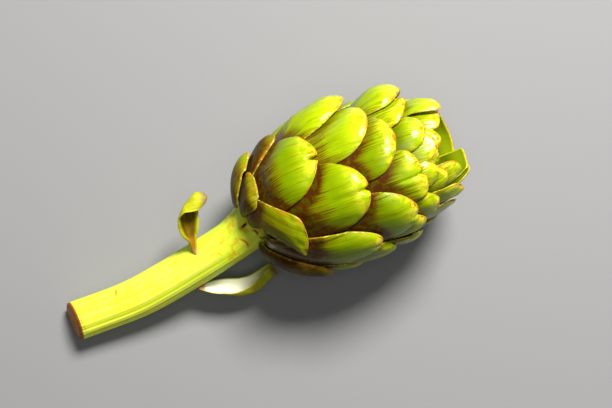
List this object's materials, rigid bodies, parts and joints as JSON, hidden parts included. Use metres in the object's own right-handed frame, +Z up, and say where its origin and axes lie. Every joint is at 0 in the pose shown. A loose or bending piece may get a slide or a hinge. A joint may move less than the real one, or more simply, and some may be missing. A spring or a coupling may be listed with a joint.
{
  "type": "artichoke",
  "caption": "Fresh globe artichoke lying on its side, with a head of overlapping fleshy bracts on a long cut stem that carries small leaves.",
  "frame": {"origin": "on the surface it lies on, under the middle of its length and width", "axes": "+X from the cut end of the stem to the tip of the head, +Z up"},
  "size_m": [0.2076, 0.0778, 0.0803],
  "materials": {
    "base_bract": "smooth waxy skin, olive with maroon shading and a thin orange rim",
    "outer_bract": "smooth waxy skin, yellow-green with maroon streaks towards the foot",
    "middle_bract": "smooth waxy skin, bright green with pale rim and fine streaks",
    "crown_bract": "glossy light green skin with pale lines and a yellow rim",
    "inner_bud": "soft pale green",
    "stem": "ribbed pale yellow-green skin, orange-brown dried cut",
    "stem_leaf": "yellow-green leaf, browned inside the upper one, cream inside the lower one"
  },
  "bodies": {
    "root": {"base_bract_01": "base_bract", "base_bract_02": "base_bract", "base_bract_03": "base_bract", "base_bract_04": "base_bract", "base_bract_05": "base_bract", "base_bract_06": "base_bract", "base_bract_07": "base_bract", "base_bract_08": "base_bract", "base_bract_09": "base_bract", "crown_bract_01": "crown_bract", "crown_bract_02": "crown_bract", "crown_bract_03": "crown_bract", "crown_bract_04": "crown_bract", "crown_bract_05": "crown_bract", "crown_bract_06": "crown_bract", "crown_bract_07": "crown_bract", "crown_bract_08": "crown_bract", "crown_bract_09": "crown_bract", "crown_bract_10": "crown_bract", "crown_bract_11": "crown_bract", "crown_bract_12": "crown_bract", "crown_bract_13": "crown_bract", "crown_bract_14": "crown_bract", "crown_bract_15": "crown_bract", "crown_bract_16": "crown_bract", "crown_bract_17": "crown_bract", "crown_bract_18": "crown_bract", "crown_bract_19": "crown_bract", "crown_bract_20": "crown_bract", "inner_bud": "inner_bud", "lower_stem_leaf": "stem_leaf", "middle_bract_01": "middle_bract", "middle_bract_02": "middle_bract", "middle_bract_03": "middle_bract", "middle_bract_04": "middle_bract", "middle_bract_05": "middle_bract", "middle_bract_06": "middle_bract", "middle_bract_07": "middle_bract", "middle_bract_08": "middle_bract", "middle_bract_09": "middle_bract", "middle_bract_10": "middle_bract", "middle_bract_11": "middle_bract", "middle_bract_12": "middle_bract", "middle_bract_13": "middle_bract", "middle_bract_14": "middle_bract", "middle_bract_15": "middle_bract", "outer_bract_01": "outer_bract", "outer_bract_02": "outer_bract", "outer_bract_03": "outer_bract", "outer_bract_04": "outer_bract", "outer_bract_05": "outer_bract", "outer_bract_06": "outer_bract", "outer_bract_07": "outer_bract", "outer_bract_08": "outer_bract", "outer_bract_09": "outer_bract", "outer_bract_10": "outer_bract", "stem_and_heart": "stem", "upper_stem_leaf": "stem_leaf"}
  },
  "joints": []
}
